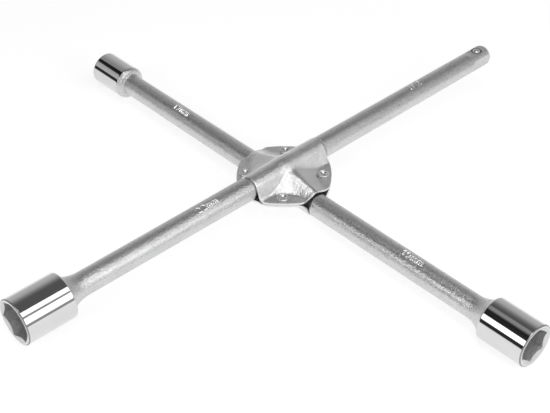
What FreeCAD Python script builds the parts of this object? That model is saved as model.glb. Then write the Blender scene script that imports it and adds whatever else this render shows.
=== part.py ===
import FreeCAD, Part
import math
import os
from FreeCAD import Rotation, Vector

# A four-way lug wrench lying flat.  Two round bars cross one above the other
# and are held between two pressed plates by four rivets.  The upper bar runs
# along X: a 22 mm socket at -X and a half-inch square drive at +X.  The lower
# bar runs along Y: a 19 mm socket at -Y and a 17 mm socket at +Y.
# All sizes are in millimetres.

# ---- driving dimensions ----
BAR_R = 7.75                     # bar radius beside the hub
BAR_END_R = 7.54                 # bar radius where a head is welded on
CROSS_DROP = 6.2                 # height of each bar's axis above or below the joint plane
NECK_R = 6.75                    # bar radius between the plates
SHOULDER_AT = 31.4               # distance from the crossing where the full bar begins
SHOULDER_EDGE = 0.4              # chamfer on that shoulder
CROSS_FLAT_LENGTH = 16.0         # flat pressed on each bar where they touch
TOUCH_GAP = 0.02                 # air left between surfaces that only touch

PLATE_T = 1.5                    # sheet thickness
PLATE_REACH = 30.3               # crossing to the plate's straight edges
PLATE_EDGE_HALF = 11.6           # half the length of a straight edge
PLATE_CORNER_REACH = 31.0        # crossing to the middle of a rounded corner edge
PLATE_VERTEX_R = 2.5             # rounding where straight and curved edges meet
RIDGE_R = NECK_R + PLATE_T + 0.1 # outer radius of the ridge pressed over a bar
RIDGE_LEAN = math.radians(24.0)  # lean of the ridge's walls from vertical
RIDGE_FOOT_R = 3.0               # bend radius from wall to flange
TENT_EDGE_H = 2.1                # rise of the plate's edge over the other bar
TENT_MIDDLE_H = 10.5             # rise of that tent's spine at the crossing
TENT_FOOT = 0.22                 # share of the tent's flank taken by its foot bend
TENT_SPINE = 0.24                # share taken by the bend along its spine
PAD_X = 27.5                     # centre and radius of the flat pad round each rivet
PAD_Y = 31.0
PAD_R = 18.4
BLEND_POWER = 6.0                # how softly ridge and tent run together

RIVET_AT = 17.9                  # rivet distance from each bar's axis
RIVET_R = 2.4
RIVET_HEAD_R = 3.9
RIVET_HEAD_H = 1.3
RIVET_CUP_R = 1.7
RIVET_HOLE_R = RIVET_R + 0.03
RIVET_SEAT_R = 4.2               # flattened ring of plate under a rivet head
RIVET_SEAT_LIFT = 0.03           # that ring stands this far above the flange

SQUARE_AF = 12.7                 # half-inch drive, across flats
SQUARE_LENGTH = 16.0
DRIVE_TIP = 201.5                # crossing to the drive's end
DRIVE_NOSE = 3.6                 # length of the rounded nose
DRIVE_NOSE_R = 5.4               # radius left at the very end
CUTTER_R = 7.0                   # radius of the run-out behind each flat
BALL_R = 3.0
BALL_PROUD = 1.3                 # how far the ball stands above the flat
BALL_FROM_TIP = 9.0
BALL_CLEARANCE = 0.04
BALL_HOLE_DEPTH = 10.4
STAKE_R = 3.5                    # ring punched round the ball's hole
STAKE_W = 0.5
STAKE_DEPTH = 0.3
SPRING_WIRE_R = 0.3
SPRING_R = 2.1                   # coil radius to the middle of the wire
SPRING_TURNS = 4
SPRING_STEPS = 12                # sections in each turn

# name, arm direction in degrees, mouth distance, outer radius, across flats,
# hexagon turn, length of the cylinder, stud clearance radius, start of the head,
# and the radius of the hollow flare from the bar to a forged socket's back
SOCKETS = [
    {"name": "socket_22mm", "arm": 180.0, "mouth": 206.8, "r": 14.8, "af": 22.3,
     "turn": 13.4, "length": 33.4, "stud_r": 8.25, "weld_at": 160.0, "flare_r": 24.0},
    {"name": "socket_19mm", "arm": 270.0, "mouth": 204.8, "r": 13.75, "af": 19.3,
     "turn": 19.0, "length": 32.0, "stud_r": 7.25, "weld_at": 160.0, "flare_r": 20.0},
    {"name": "socket_17mm", "arm": 90.0, "mouth": 194.9, "r": 11.8, "af": 17.3,
     "turn": 30.0, "length": 27.5, "stud_r": 6.25, "weld_at": 160.0},
]
HEX_DEPTH = 18.0
STUD_DEPTH = 26.0                # bottom of the round stud clearance, from the mouth
DRILL_POINT = math.radians(59.0) # half angle of the drilled bottom
MOUTH_EDGE = 0.7                 # chamfer round the mouth's outer edge
MOUTH_LAND = 0.9                 # flat ring left between that chamfer and the lead-in
LEAD_IN = math.radians(60.0)     # slope of the lead-in from the wrench's axis
BACK_EDGE_R = 1.3                # rounding of the forged sockets' back edge
ROUND_SHOULDER_R = 3.4           # the small socket's rounded shoulder
ROUND_SHOULDER_FILLET = 1.2

# ---- placement: the origin is on the ground under the middle of the box ----
by_name = {socket["name"]: socket for socket in SOCKETS}
HUB = Vector(
    (by_name["socket_22mm"]["mouth"] - DRIVE_TIP) / 2.0,
    (by_name["socket_19mm"]["mouth"] - by_name["socket_17mm"]["mouth"]) / 2.0,
    CROSS_DROP + by_name["socket_19mm"]["r"],
)
X_AXIS = Vector(1, 0, 0)
Z_AXIS = Vector(0, 0, 1)
ZERO = Vector(0, 0, 0)


def bar_radius(distance):
    """The bars taper slightly from the hub to their ends."""
    share = (distance - SHOULDER_AT) / (160.0 - SHOULDER_AT)
    return BAR_R + (BAR_END_R - BAR_R) * share


def point(along, radius):
    return Vector(along, radius, 0)


def line(start, end):
    return Part.LineSegment(start, end).toShape()


def arc(start, middle, end):
    return Part.Arc(start, middle, end).toShape()


def corner_arc(centre, radius, from_angle, to_angle):
    """An arc in the XY plane, angles in radians."""
    ends = []
    for angle in (from_angle, (from_angle + to_angle) / 2.0, to_angle):
        ends.append(centre + Vector(math.cos(angle), math.sin(angle), 0) * radius)
    return arc(*ends)


def turned(edges):
    """A solid of revolution about X from a closed profile above the axis."""
    face = Part.Face(Part.Wire(edges))
    return face.revolve(ZERO, X_AXIS, 360)


def closed(edges, start, end):
    """Closes a profile through the axis."""
    foot_end = point(end.x, 0)
    foot_start = point(start.x, 0)
    return edges + [line(end, foot_end), line(foot_end, foot_start), line(foot_start, start)]


def polyline(points):
    return [line(a, b) for a, b in zip(points, points[1:])]


def place_on_arm(shape, arm, height):
    """Turns a shape made along +X onto one of the four arms."""
    shape.rotate(ZERO, Z_AXIS, arm)
    shape.translate(HUB + Vector(0, 0, height))
    return shape


def neck_points():
    """The narrow middle of a bar and the shoulders beside it."""
    edge = SHOULDER_EDGE
    return [
        point(-SHOULDER_AT - edge, BAR_R),
        point(-SHOULDER_AT, BAR_R - edge),
        point(-SHOULDER_AT, NECK_R),
        point(SHOULDER_AT, NECK_R),
        point(SHOULDER_AT, BAR_R - edge),
        point(SHOULDER_AT + edge, BAR_R),
    ]


def cross_flat():
    """The slab pressed off a bar so that the two bars seat on each other."""
    slab = Part.makeBox(CROSS_FLAT_LENGTH, 4 * NECK_R, 2 * NECK_R)
    slab.translate(Vector(-CROSS_FLAT_LENGTH / 2, -2 * NECK_R, -2 * NECK_R))
    slab.translate(Vector(0, 0, TOUCH_GAP / 2 - CROSS_DROP))
    return slab


def plain_bar(start, end):
    """A bar with both ends square, for welded heads."""
    points = [point(start, bar_radius(-start))] + neck_points() + [point(end, bar_radius(end))]
    return turned(closed(polyline(points), points[0], points[-1]))


def drive_bar(start):
    """The upper bar, with its rounded nose at +X."""
    nose_start = DRIVE_TIP - DRIVE_NOSE
    nose_r = bar_radius(nose_start)
    points = [point(start, bar_radius(-start))] + neck_points() + [point(nose_start, nose_r)]
    tip = point(DRIVE_TIP, DRIVE_NOSE_R)
    bulge = point(nose_start + DRIVE_NOSE * 0.62, nose_r - (nose_r - DRIVE_NOSE_R) * 0.36)
    edges = polyline(points) + [arc(points[-1], bulge, tip)]
    return turned(closed(edges, points[0], tip))


def flat_cutter():
    """Cuts one flat of the square drive, with the cutter's round run-out behind it."""
    span = 4 * BAR_R
    flat_start = DRIVE_TIP - SQUARE_LENGTH
    block = Part.makeBox(SQUARE_LENGTH + 1, span, span)
    block.translate(Vector(flat_start, -span / 2, SQUARE_AF / 2))
    run_out = Part.makeCylinder(CUTTER_R, span, ZERO, Vector(0, 1, 0))
    run_out.translate(Vector(flat_start, -span / 2, SQUARE_AF / 2 + CUTTER_R))
    return block.fuse(run_out)


def ball_centre():
    return Vector(DRIVE_TIP - BALL_FROM_TIP, 0, SQUARE_AF / 2 + BALL_PROUD - BALL_R)


def ball_pocket():
    """Blind hole whose staked mouth closes round the ball."""
    radius = BALL_R + BALL_CLEARANCE
    centre = ball_centre()
    floor = Vector(centre.x, 0, SQUARE_AF / 2 - BALL_HOLE_DEPTH)
    bore = Part.makeCylinder(radius, centre.z - floor.z, floor, Z_AXIS)
    return bore.fuse(Part.makeSphere(radius, centre))


def stake_ring():
    base = Vector(ball_centre().x, 0, SQUARE_AF / 2 - STAKE_DEPTH)
    outer = Part.makeCylinder(STAKE_R + STAKE_W / 2, 1, base, Z_AXIS)
    inner = Part.makeCylinder(STAKE_R - STAKE_W / 2, 1, base, Z_AXIS)
    return outer.cut(inner)


def upper_bar():
    bar = drive_bar(-by_name["socket_22mm"]["weld_at"])
    for quarter in range(4):
        cutter = flat_cutter()
        cutter.rotate(ZERO, X_AXIS, 90 * quarter)
        bar = bar.cut(cutter)
    bar = bar.cut(ball_pocket()).cut(stake_ring()).cut(cross_flat())
    return place_on_arm(bar, 0, CROSS_DROP)


def lower_bar():
    bar = plain_bar(-by_name["socket_19mm"]["weld_at"], by_name["socket_17mm"]["weld_at"])
    flat = cross_flat()
    flat.rotate(ZERO, X_AXIS, 180)
    return place_on_arm(bar.cut(flat), 90, -CROSS_DROP)


def detent_ball():
    return place_on_arm(Part.makeSphere(BALL_R, ball_centre()), 0, CROSS_DROP)


def detent_spring():
    """A coil spring between the pocket's floor and the ball."""
    centre = ball_centre()
    reach = BALL_R + SPRING_WIRE_R + BALL_CLEARANCE
    top = centre.z - math.sqrt(reach ** 2 - SPRING_R ** 2)
    bottom = SQUARE_AF / 2 - BALL_HOLE_DEPTH + SPRING_WIRE_R + BALL_CLEARANCE
    pitch = (top - bottom) / SPRING_TURNS
    turns = []
    for number in range(SPRING_TURNS):
        turn = Part.makeLoft(turn_sections(pitch), True, True)
        turn.translate(Vector(centre.x, 0, bottom + pitch * number))
        turns.append(turn)
    return place_on_arm(turns[0].fuse(turns[1:]), 0, CROSS_DROP)


def turn_sections(pitch):
    """Circles of wire along one turn of the helix, each square to it."""
    circles = []
    for step in range(SPRING_STEPS + 1):
        angle = 2 * math.pi * step / SPRING_STEPS
        outward = Vector(math.cos(angle), math.sin(angle), 0)
        heading = Vector(-math.sin(angle), math.cos(angle), pitch / (2 * math.pi * SPRING_R))
        middle = outward * SPRING_R + Vector(0, 0, pitch * step / SPRING_STEPS)
        circle = Part.Circle(middle, heading, SPRING_WIRE_R)
        circle.XAxis = outward
        circles.append(Part.Wire(circle.toShape()))
    return circles


def hex_recess(socket):
    """Hexagon, lead-in cone and stud clearance, cut from the mouth inwards."""
    mouth = socket["mouth"]
    corner = socket["af"] / math.sqrt(3.0)
    corners = []
    for side in range(7):
        angle = math.radians(socket["turn"] + 60 * side)
        corners.append(Vector(mouth - HEX_DEPTH, corner * math.cos(angle), corner * math.sin(angle)))
    hexagon = Part.Face(Part.makePolygon(corners)).extrude(Vector(HEX_DEPTH + 1, 0, 0))
    land_r = socket["r"] - MOUTH_EDGE - MOUTH_LAND
    cone_length = land_r / math.tan(LEAD_IN)
    lead_in = Part.makeCone(0, land_r, cone_length, Vector(mouth - cone_length, 0, 0), X_AXIS)
    stud_r = socket["stud_r"]
    stud = Part.makeCylinder(stud_r, STUD_DEPTH - HEX_DEPTH + 1, Vector(mouth - STUD_DEPTH, 0, 0), X_AXIS)
    drill = stud_r / math.tan(DRILL_POINT)
    point_cone = Part.makeCone(0, stud_r, drill, Vector(mouth - STUD_DEPTH - drill, 0, 0), X_AXIS)
    return hexagon.fuse([lead_in, stud, point_cone])


def flare_edges(socket, back):
    """Hollow flare that grows out of the bar until it meets the socket's flat back."""
    weld = socket["weld_at"]
    start = point(weld, bar_radius(weld))
    run = back - weld
    flare = socket["flare_r"]
    rise = flare - math.sqrt(flare ** 2 - run ** 2)
    half = run / 2
    half_rise = flare - math.sqrt(flare ** 2 - half ** 2)
    middle = point(weld + half, start.y + half_rise)
    return [arc(start, middle, point(back, start.y + rise))], start


def forged_profile(socket):
    """Outline of the two big sockets from the weld to the mouth."""
    back = socket["mouth"] - socket["length"]
    edges, start = flare_edges(socket, back)
    flare_end = edges[0].Vertexes[-1].Point
    outer = socket["r"]
    round_r = BACK_EDGE_R
    centre = point(back + round_r, outer - round_r)
    edges.append(line(flare_end, point(back, centre.y)))
    edges.append(corner_arc(centre, round_r, math.pi, math.pi / 2))
    edges.append(line(point(centre.x, outer), point(socket["mouth"] - MOUTH_EDGE, outer)))
    return edges, start


def small_profile(socket):
    """Outline of the small socket, whose shoulder is rounded down to the bar."""
    shoulder = socket["mouth"] - socket["length"]
    outer = socket["r"]
    weld = socket["weld_at"]
    bar_r = bar_radius(weld)
    start = point(weld, bar_r)
    big = ROUND_SHOULDER_R
    small = ROUND_SHOULDER_FILLET
    big_centre = point(shoulder, outer - big)
    height = big_centre.y - (bar_r + small)
    gap = math.sqrt((big + small) ** 2 - height ** 2)
    small_centre = point(shoulder - gap, bar_r + small)
    lean = math.atan2(height, gap)
    edges = [line(start, point(small_centre.x, bar_r))]
    edges.append(corner_arc(small_centre, small, -math.pi / 2, lean))
    edges.append(corner_arc(big_centre, big, math.pi + lean, math.pi / 2))
    edges.append(line(point(shoulder, outer), point(socket["mouth"] - MOUTH_EDGE, outer)))
    return edges, start


def socket_head(socket, height):
    """A socket with its flare, butt-welded to the bar's end."""
    profile = small_profile if socket["name"] == "socket_17mm" else forged_profile
    edges, start = profile(socket)
    rim = point(socket["mouth"] - MOUTH_EDGE, socket["r"])
    mouth = point(socket["mouth"], socket["r"] - MOUTH_EDGE)
    edges.append(line(rim, mouth))
    head = turned(closed(edges, start, mouth)).cut(hex_recess(socket))
    return place_on_arm(head, socket["arm"], height)


def ridge_rise(across):
    """Height of the pressed ridge above the flange, at a distance from its bar."""
    across = abs(across)
    lean = RIDGE_LEAN
    wall_y = RIDGE_R * math.cos(lean)
    wall_z = CROSS_DROP + RIDGE_R * math.sin(lean)
    fillet_z = PLATE_T + RIDGE_FOOT_R
    foot = wall_y + (RIDGE_FOOT_R - math.sin(lean) * (fillet_z - wall_z)) / math.cos(lean)
    fillet_y = foot - RIDGE_FOOT_R * math.cos(lean)
    if across <= wall_y:
        return CROSS_DROP + math.sqrt(RIDGE_R ** 2 - across ** 2) - PLATE_T
    if across <= fillet_y:
        return wall_z - (across - wall_y) / math.tan(lean) - PLATE_T
    if across <= foot:
        return fillet_z - math.sqrt(RIDGE_FOOT_R ** 2 - (foot - across) ** 2) - PLATE_T
    return 0.0


def pad_gap(x, y):
    """Distance from the edge of the nearest rivet's flat pad, 0 on the pad itself."""
    short_x = max(PAD_X - abs(x), 0.0)
    short_y = max(PAD_Y - abs(y), 0.0)
    return max(math.hypot(short_x, short_y) - PAD_R, 0.0)


def rounded_ramp(share):
    """Rises from 0 to 1, level at both ends and straight between its two bends."""
    whole = 1.0 - (TENT_FOOT + TENT_SPINE) / 2.0
    if share < TENT_FOOT:
        return share ** 2 / (2.0 * TENT_FOOT) / whole
    if share < 1.0 - TENT_SPINE:
        return (share - TENT_FOOT / 2.0) / whole
    return 1.0 - (1.0 - share) ** 2 / (2.0 * TENT_SPINE) / whole


def tent_rise(x, y):
    """The sheet slopes from the ridge down to the plate's edge over the other bar."""
    out = min(abs(y) / PLATE_REACH, 1.0)
    spine = TENT_MIDDLE_H + (TENT_EDGE_H - TENT_MIDDLE_H) * out
    return spine * rounded_ramp(min(pad_gap(x, y) / pad_gap(0.0, y), 1.0))


def plate_height(x, y):
    """Outer surface of the top plate above the joint plane."""
    rises = [ridge_rise(y), tent_rise(x, y)]
    total = sum(rise ** BLEND_POWER for rise in rises)
    return PLATE_T + total ** (1.0 / BLEND_POWER)


def plate_grid(depth):
    """Points on the outer surface, moved inwards along its normal by depth."""
    step = 0.6
    count = 57
    tiny = 0.01
    rows = []
    for row in range(-count, count + 1):
        points = []
        for column in range(-count, count + 1):
            x = row * step
            y = column * step
            slope_x = (plate_height(x + tiny, y) - plate_height(x - tiny, y)) / (2 * tiny)
            slope_y = (plate_height(x, y + tiny) - plate_height(x, y - tiny)) / (2 * tiny)
            normal = Vector(-slope_x, -slope_y, 1).normalize()
            points.append(Vector(x, y, plate_height(x, y)) - normal * depth)
        rows.append(points)
    return rows


def below_surface(depth):
    """Everything under the plate's surface at a given depth."""
    surface = Part.BSplineSurface()
    surface.interpolate(plate_grid(depth))
    return surface.toShape().extrude(Vector(0, 0, -40))


def outline_point(reach, side, quarter):
    return Rotation(Z_AXIS, 90 * quarter) * Vector(reach, side, 0)


def plate_outline():
    """Four straight edges joined by four shallow arcs."""
    edges = []
    middle = PLATE_CORNER_REACH / math.sqrt(2.0)
    for quarter in range(4):
        low = outline_point(PLATE_REACH, -PLATE_EDGE_HALF, quarter)
        high = outline_point(PLATE_REACH, PLATE_EDGE_HALF, quarter)
        bulge = outline_point(middle, middle, quarter)
        following = outline_point(PLATE_REACH, -PLATE_EDGE_HALF, quarter + 1)
        edges.append(line(low, high))
        edges.append(arc(high, bulge, following))
    return Part.Wire(edges)


def plate_blank():
    """Prism of the plate's outline, its eight corners rounded."""
    base = Part.Face(plate_outline())
    base.translate(Vector(0, 0, -5))
    prism = base.extrude(Vector(0, 0, 30))
    upright = []
    for edge in prism.Edges:
        ends = [vertex.Point for vertex in edge.Vertexes]
        if len(ends) == 2 and abs(ends[0].z - ends[1].z) > 29:
            upright.append(edge)
    return prism.makeFillet(PLATE_VERTEX_R, upright)


def rivet_places():
    places = []
    for quarter in range(4):
        places.append(Rotation(Z_AXIS, 90 * quarter) * Vector(RIVET_AT, RIVET_AT, 0))
    return places


def pressed_plate():
    """The top plate about the crossing, its ridge along X."""
    lifted = TOUCH_GAP / 2
    plate = below_surface(0).common(plate_blank()).cut(below_surface(PLATE_T))
    for place in rivet_places():
        plate = plate.cut(Part.makeCylinder(RIVET_HOLE_R, 20, place - Vector(0, 0, 5), Z_AXIS))
    for place in rivet_places():
        seat_floor = place + Vector(0, 0, PLATE_T + RIVET_SEAT_LIFT)
        plate = plate.cut(Part.makeCylinder(RIVET_SEAT_R, 10, seat_floor, Z_AXIS))
    plate.translate(Vector(0, 0, lifted))
    return plate.Solids[0]


def top_plate(plate):
    placed = plate.copy()
    placed.translate(HUB)
    return placed


def bottom_plate(plate):
    """The same pressing turned over and a quarter turn round."""
    placed = plate.copy()
    placed.rotate(ZERO, X_AXIS, 180)
    placed.rotate(ZERO, Z_AXIS, 90)
    placed.translate(HUB)
    return placed


def rivet(place):
    """A semi-tubular rivet: a domed head below, a rolled and cupped one above."""
    grip = PLATE_T + RIVET_SEAT_LIFT + TOUCH_GAP
    roll = RIVET_HEAD_H / 2
    roll_at = RIVET_HEAD_R - roll
    low = -grip - RIVET_HEAD_H
    head_start = point(low, 1.4)
    head_middle = point(low + 0.42 * RIVET_HEAD_H, RIVET_HEAD_R * 0.78)
    head_end = point(-grip, RIVET_HEAD_R)
    top = point(grip + RIVET_HEAD_H, roll_at)
    cup_edge = point(grip + roll, roll_at - roll)
    cup_floor = point(grip - 0.6, RIVET_CUP_R * 0.7)
    edges = [arc(head_start, head_middle, head_end)]
    edges += polyline([head_end, point(-grip, RIVET_R), point(grip, RIVET_R), point(grip, roll_at)])
    edges.append(arc(point(grip, roll_at), point(grip + roll, RIVET_HEAD_R), top))
    edges.append(corner_arc(point(grip + roll, roll_at), roll, 0, -math.pi / 2))
    edges.append(line(cup_edge, cup_floor))
    solid = turned(closed(edges, head_start, cup_floor))
    solid.rotate(ZERO, Vector(0, 1, 0), -90)
    solid.translate(HUB + place)
    return solid


def save(name, shape):
    solids = shape.Solids
    print(name, "valid", shape.isValid(), "solids", len(solids), "volume", round(shape.Volume, 1))
    shape.exportStep(os.path.join("parts", name + ".step"))


os.makedirs("parts", exist_ok=True)
save("upper_bar", upper_bar())
save("lower_bar", lower_bar())
for socket in SOCKETS:
    drop = CROSS_DROP if socket["arm"] == 180.0 else -CROSS_DROP
    save(socket["name"], socket_head(socket, drop))
pressing = pressed_plate()
save("top_plate", top_plate(pressing))
save("bottom_plate", bottom_plate(pressing))
for number, place in enumerate(rivet_places(), start=1):
    save("rivet_" + str(number), rivet(place))
save("detent_ball", detent_ball())
save("detent_spring", detent_spring())
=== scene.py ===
import bpy
import bmesh
import math
from mathutils import Matrix, Vector


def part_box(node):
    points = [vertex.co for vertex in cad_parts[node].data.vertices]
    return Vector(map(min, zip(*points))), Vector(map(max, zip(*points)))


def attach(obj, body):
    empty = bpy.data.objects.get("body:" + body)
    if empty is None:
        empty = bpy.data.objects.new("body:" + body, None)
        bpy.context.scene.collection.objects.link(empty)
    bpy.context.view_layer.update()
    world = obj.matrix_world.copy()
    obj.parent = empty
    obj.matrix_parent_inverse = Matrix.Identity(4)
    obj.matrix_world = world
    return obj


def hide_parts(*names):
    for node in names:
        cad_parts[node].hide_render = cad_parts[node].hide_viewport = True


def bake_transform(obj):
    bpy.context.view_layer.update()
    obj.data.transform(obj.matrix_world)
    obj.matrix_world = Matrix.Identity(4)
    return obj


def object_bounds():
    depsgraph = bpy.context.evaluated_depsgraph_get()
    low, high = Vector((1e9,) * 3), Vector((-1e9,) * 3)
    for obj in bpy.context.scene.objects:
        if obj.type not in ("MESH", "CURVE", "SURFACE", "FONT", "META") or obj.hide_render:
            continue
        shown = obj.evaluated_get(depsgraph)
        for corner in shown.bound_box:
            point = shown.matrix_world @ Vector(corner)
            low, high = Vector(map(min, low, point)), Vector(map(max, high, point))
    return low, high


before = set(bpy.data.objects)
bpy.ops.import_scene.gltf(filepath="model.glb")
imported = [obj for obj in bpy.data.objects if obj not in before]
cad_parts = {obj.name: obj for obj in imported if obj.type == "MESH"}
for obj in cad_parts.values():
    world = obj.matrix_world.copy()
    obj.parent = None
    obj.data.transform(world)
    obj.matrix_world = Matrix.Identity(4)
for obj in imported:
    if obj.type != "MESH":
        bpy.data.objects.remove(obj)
cad_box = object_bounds()

# Everything below is in millimetres from the point where the bars cross, and
# turned into the frame's metres when a mesh is made.
MM = 0.001

# ---- meshes ----
BAR_COLUMNS = 180                # faces round a bar, away from its marks
SOCKET_COLUMNS = 240
AXIS_R = 0.05                    # a turned face is closed by a ring this small
SHARP_ANGLE = 32.0               # edges that turn more than this stay sharp
ROUND_SHARP_ANGLE = 50.0         # the same for small round pieces
MERGE_M = 2e-6                   # points nearer than this, in metres, become one
SHORTEST_EDGE_M = 1e-6

# ---- bars ----
BAR_R = 7.75                     # at the hub's shoulder, from which the bar tapers
BAR_END_R = 7.54                 # at TAPER_END
TAPER_END = 160.0                # distance from the crossing
NECK_R = 6.75                    # between the plates
SHOULDER_AT = 31.4               # where the neck ends
SHOULDER_EDGE = 0.4              # chamfer of that shoulder
SHOULDER_HOLD = 0.3              # a ring this far past the chamfer keeps the bar's shading clean
CROSS_FLAT_HALF = 8.0            # half the length of the flat where the bars touch
PLAIN_START = 0.5                # an even stretch at the start of a bar or a socket
RING_GAP = 0.01                  # distance between two rings that make a sharp step
SQUARE_HALF = 6.35               # half the drive's width across flats
SQUARE_LENGTH = 16.0
DRIVE_NOSE = 3.6                 # length of the drive's rounded end
DRIVE_NOSE_R = 5.4               # radius left at its tip
DRIVE_STEP = 0.5                 # distance between rings along the drive
CUTTER_R = 7.0                   # run-out behind the flats
BALL_FROM_TIP = 9.0
BALL_HOLE_R = 3.04
BALL_HOLE_DEPTH = 10.4
BALL_HOLE_FLARE = 0.12           # widening of the hole's mouth
BALL_HOLE_FLARE_DEPTH = 0.25
STAKE_IN = 3.02                  # inner and outer radius of the staked ring
STAKE_OUT = 3.9
STAKE_DEPTH = 0.5
CUTTER_ABOVE = 1.5               # how far the hole's cutter stands over the flat
SPRING_WIRE_R = 0.3
SPRING_TURNS = 4
SPRING_STEPS = 24                # sections in each turn

# ---- sockets ----
# arm in degrees, width across flats, the hexagon's turn in degrees, length of the
# cylinder, radius of the stud clearance, and of the hollow flare behind a forged
# socket, 0 for the small one, which has none
SOCKETS = {
    "socket_22mm": {"arm": 180, "af": 22.3, "turn": 13.4, "length": 33.4,
                    "stud_r": 8.25, "flare_r": 24.0},
    "socket_19mm": {"arm": 270, "af": 19.3, "turn": 19.0, "length": 32.0,
                    "stud_r": 7.25, "flare_r": 20.0},
    "socket_17mm": {"arm": 90, "af": 17.3, "turn": 30.0, "length": 27.5,
                    "stud_r": 6.25, "flare_r": 0.0},
}
HEX_DEPTH = 18.0
STUD_DEPTH = 26.0                # bottom of the stud clearance, from the mouth
DRILL_SLOPE = math.tan(math.radians(59.0))
MOUTH_EDGE = 0.7                 # rounding of the mouth's outer edge
MOUTH_EDGE_POINTS = 6            # of the profile, along that rounding
MOUTH_LAND = 0.9                 # flat ring between that edge and the lead-in
RIM_STEP = 0.1                   # first part of that ring, which keeps the edge's shading clean
SHADING_HOLD = 0.4               # a ring this far from a rounding keeps the cylinder flat
LEAD_IN = math.radians(60.0)     # the lead-in's slope from the axis
BACK_EDGE_R = 1.3
ROUND_SHOULDER_R = 3.4           # the small socket's
ROUND_SHOULDER_FILLET = 1.2

# ---- plates ----
PLATE_T = 1.5
PLATE_REACH = 30.3               # from the crossing to the straight edges
PLATE_CORNER_REACH = 31.0        # and to the middle of the rounded corner edges
CORNER_EDGE_R = 64.5             # radius of those
CORNER_SHARPNESS = 90.0          # how tightly a straight edge turns into a rounded one
PLATE_COLUMNS = 360              # faces round a plate
PLATE_ROWS = 72                  # rows of faces from the middle to the rim
SLOPE_STEP = 0.02                # the sheet's slope is measured over this distance each way
RIDGE_GAP = 0.1                  # between the bar's neck and the ridge
RIDGE_R = NECK_R + PLATE_T + RIDGE_GAP
RIDGE_LEAN = math.radians(24.0)
TOP_FOOT_R = 3.0                 # bend from the ridge's wall to the flange
BOTTOM_FOOT_R = 9.0
TENT_EDGE_H = 2.1                # height of the sloping sheet at the plate's edge
TENT_MIDDLE_H = 10.5             # and over the crossing
TENT_FOOT = 0.22                 # shares of its slope that its two bends take up
TENT_SPINE = 0.24
PAD_X = 27.5                     # centre of each rivet's flat pad
PAD_Y = 31.0
PAD_R = 18.4
BLEND_POWER = 6.0                # how tightly ridge and slope meet
RIM_R = 0.35                     # rounding of the sheared edge

# ---- rivets ----
RIVET_HEAD_R = 3.9
RIVET_HEAD_H = 1.3
RIVET_CUP_R = 1.9
# the bottom of the cup, as (height over the plate, radius)
RIVET_CUP_FLOOR = [(0.1, 0.85 * RIVET_CUP_R), (-0.25, 0.55 * RIVET_CUP_R), (-0.2, 0.5),
                   (-0.05, AXIS_R)]
RIVET_SHANK_R = 2.4
RIVET_PLAY = 0.05                # between each head and its plate

# ---- stamped size marks ----
LETTER_STRETCH = 1.24            # how much wider the letters are than their plain shape
MARK_DEPTH = 0.42
STROKE_HALF = 0.38
LIP_HEIGHT = 0.08                # metal raised beside a stroke
MARK_MARGIN = 2 * STROKE_HALF    # how far that lip reaches past a stroke's line
MARK_STEP = 0.16                 # mesh spacing across a mark


def hub_centre():
    """Midway between two opposite rivets, on the plates' joint."""
    corners = list(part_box("rivet_1")) + list(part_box("rivet_3"))
    middle = sum(corners, Vector()) / 4
    joint = (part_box("top_plate")[0].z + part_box("bottom_plate")[1].z) / 2
    return Vector((middle.x, middle.y, joint))


HUB = hub_centre()


def local_box(node):
    """A CAD node's box in millimetres from the crossing."""
    low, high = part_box(node)
    return (low - HUB) / MM, (high - HUB) / MM


UPPER = sum((corner.z for corner in local_box("socket_22mm")), 0.0) / 2
LOWER = sum((corner.z for corner in local_box("socket_19mm")), 0.0) / 2
DRIVE_TIP = local_box("upper_bar")[1].x


# ---------------------------------------------------------------- mesh making

def place_on_arm(point, arm, height):
    """Turns a point made along +X onto an arm at the height of its bar."""
    turned = Matrix.Rotation(math.radians(arm), 3, "Z") @ Vector(point)
    return HUB + (turned + Vector((0, 0, height))) * MM


def new_piece(name, points, faces, finishes, finish_of_face=None, body="wrench", sharp=SHARP_ANGLE):
    """A mesh object, smooth apart from its sharp edges, that rides on a body if one is named."""
    mesh = bpy.data.meshes.new(name)
    mesh.from_pydata([tuple(point) for point in points], [], faces)
    for finish in finishes:
        mesh.materials.append(finish)
    if finish_of_face:
        mesh.polygons.foreach_set("material_index", finish_of_face)
    shape = bmesh.new()
    shape.from_mesh(mesh)
    bmesh.ops.remove_doubles(shape, verts=shape.verts, dist=MERGE_M)
    bmesh.ops.dissolve_degenerate(shape, edges=shape.edges, dist=SHORTEST_EDGE_M)
    bmesh.ops.recalc_face_normals(shape, faces=shape.faces)
    shape.to_mesh(mesh)
    shape.free()
    mesh.shade_smooth()
    mesh.set_sharp_from_angle(angle=math.radians(sharp))
    piece = bpy.data.objects.new(name, mesh)
    bpy.context.scene.collection.objects.link(piece)
    if body:
        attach(piece, body)
    return piece


def skin(rings):
    """Points and faces that join closed rings of as many points each, with flat ends."""
    points = [point for ring in rings for point in ring]
    size = len(rings[0])
    faces = []
    for row in range(len(rings) - 1):
        for column in range(size):
            following = (column + 1) % size
            a = row * size + column
            b = row * size + following
            faces.append((a, b, b + size, a + size))
    faces.append(tuple(reversed(range(size))))
    faces.append(tuple(range((len(rings) - 1) * size, len(rings) * size)))
    return points, faces


def arc_points(centre, radius, start, end, count):
    """Points of a profile arc, both ends included; angles in radians."""
    made = []
    for step in range(count + 1):
        angle = start + (end - start) * step / count
        made.append((centre[0] + radius * math.cos(angle), centre[1] + radius * math.sin(angle)))
    return made


def even_angles(count, first=0.0):
    """Angles in radians, evenly spaced round a circle from the first one in degrees."""
    return [math.radians(first) + 2 * math.pi * step / count for step in range(count)]


def turned_ring(along, radius, angles):
    """A circle of points about +X."""
    return [(along, radius * math.cos(angle), radius * math.sin(angle)) for angle in angles]


# -------------------------------------------------------------------- sockets

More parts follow.
